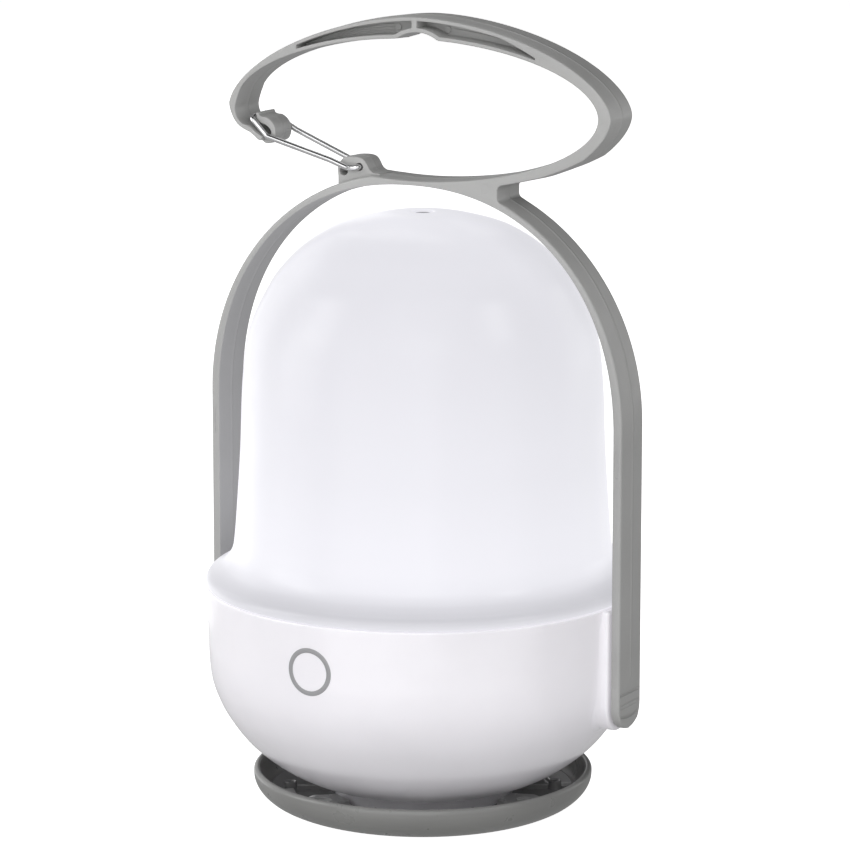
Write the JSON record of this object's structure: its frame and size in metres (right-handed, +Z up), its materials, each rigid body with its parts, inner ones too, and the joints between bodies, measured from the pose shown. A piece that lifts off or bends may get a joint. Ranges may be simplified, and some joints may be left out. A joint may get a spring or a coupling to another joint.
{
  "type": "camping lantern",
  "caption": "Table and hanging lantern: opal dome diffuser on a round bowl and dish base, with a swinging arched handle that ends in a carabiner grip with a wire gate.",
  "frame": {"origin": "on the lantern's axis at the underside of the foot ring, where it stands on the table", "axes": "+Z up along the lantern's axis, -Y towards the front with the touch key, +X to the right seen from the front; the handle's pivots lie along X"},
  "size_m": [0.1466, 0.1362, 0.2511],
  "materials": {
    "opal": "translucent opal white, satin gloss",
    "white_shell": "glossy white",
    "grey_satin": "satin mid grey",
    "grey_gloss": "glossy dark grey",
    "ink_grey": "satin grey",
    "rubber": "soft matt",
    "nickel": "nickel plated",
    "bright_wire": "bright spring wire",
    "black": "black moulding",
    "board_green": "green circuit board",
    "board_white": "white circuit board",
    "cell_blue": "blue wrapped cell"
  },
  "bodies": {
    "lantern": {"diffuser_dome": "opal", "dome_seal": "rubber", "body_bowl": "white_shell", "touch_ring": "ink_grey", "touch_board": "board_green", "pivot_pad_left": "white_shell", "pivot_pad_right": "white_shell", "led_deck": "white_shell", "led_board": "board_white", "deck_screw_1": "nickel", "deck_screw_2": "nickel", "deck_screw_3": "nickel", "driver_board": "board_green", "cell_holder": "black", "battery_cell_1": "cell_blue", "battery_cell_2": "cell_blue", "battery_cell_3": "cell_blue", "battery_cell_4": "cell_blue", "cell_strap_left": "nickel", "cell_strap_right": "nickel", "usb_socket": "nickel", "neck_collar": "white_shell", "base_dish": "grey_satin", "dish_insert": "grey_gloss", "foot_ring": "rubber", "base_screw_1": "nickel", "base_screw_2": "nickel", "base_screw_3": "nickel", "base_screw_4": "nickel", "friction_washer_left": "rubber", "friction_washer_right": "rubber"},
    "handle": {"handle_frame": "grey_satin", "pivot_stud_left": "nickel", "pivot_stud_right": "nickel", "stud_clip_left": "nickel", "stud_clip_right": "nickel"},
    "gate": {"wire_gate": "bright_wire"},
    "port_flap": {"port_cover": "rubber"}
  },
  "joints": [
    {"name": "handle_swing", "type": "hinge", "parent": "lantern", "child": "handle", "pos_m": [0, 0, 0.0414], "axis": [1, 0, 0], "range_deg": [-97, 97]},
    {"name": "gate_hinge", "type": "hinge", "parent": "handle", "child": "gate", "pos_m": [-0.0201, 0, 0.2029], "axis": [0, 1, 0], "range_deg": [0, 30], "stiffness_Nm_per_rad": 0.17, "springref_deg": -17.19},
    {"name": "port_flap_hinge", "type": "hinge", "parent": "lantern", "child": "port_flap", "pos_m": [0, 0.0673, 0.0473], "axis": [-1, 0, 0], "range_deg": [0, 100], "stiffness_Nm_per_rad": 0.002, "springref_deg": -5.73}
  ]
}
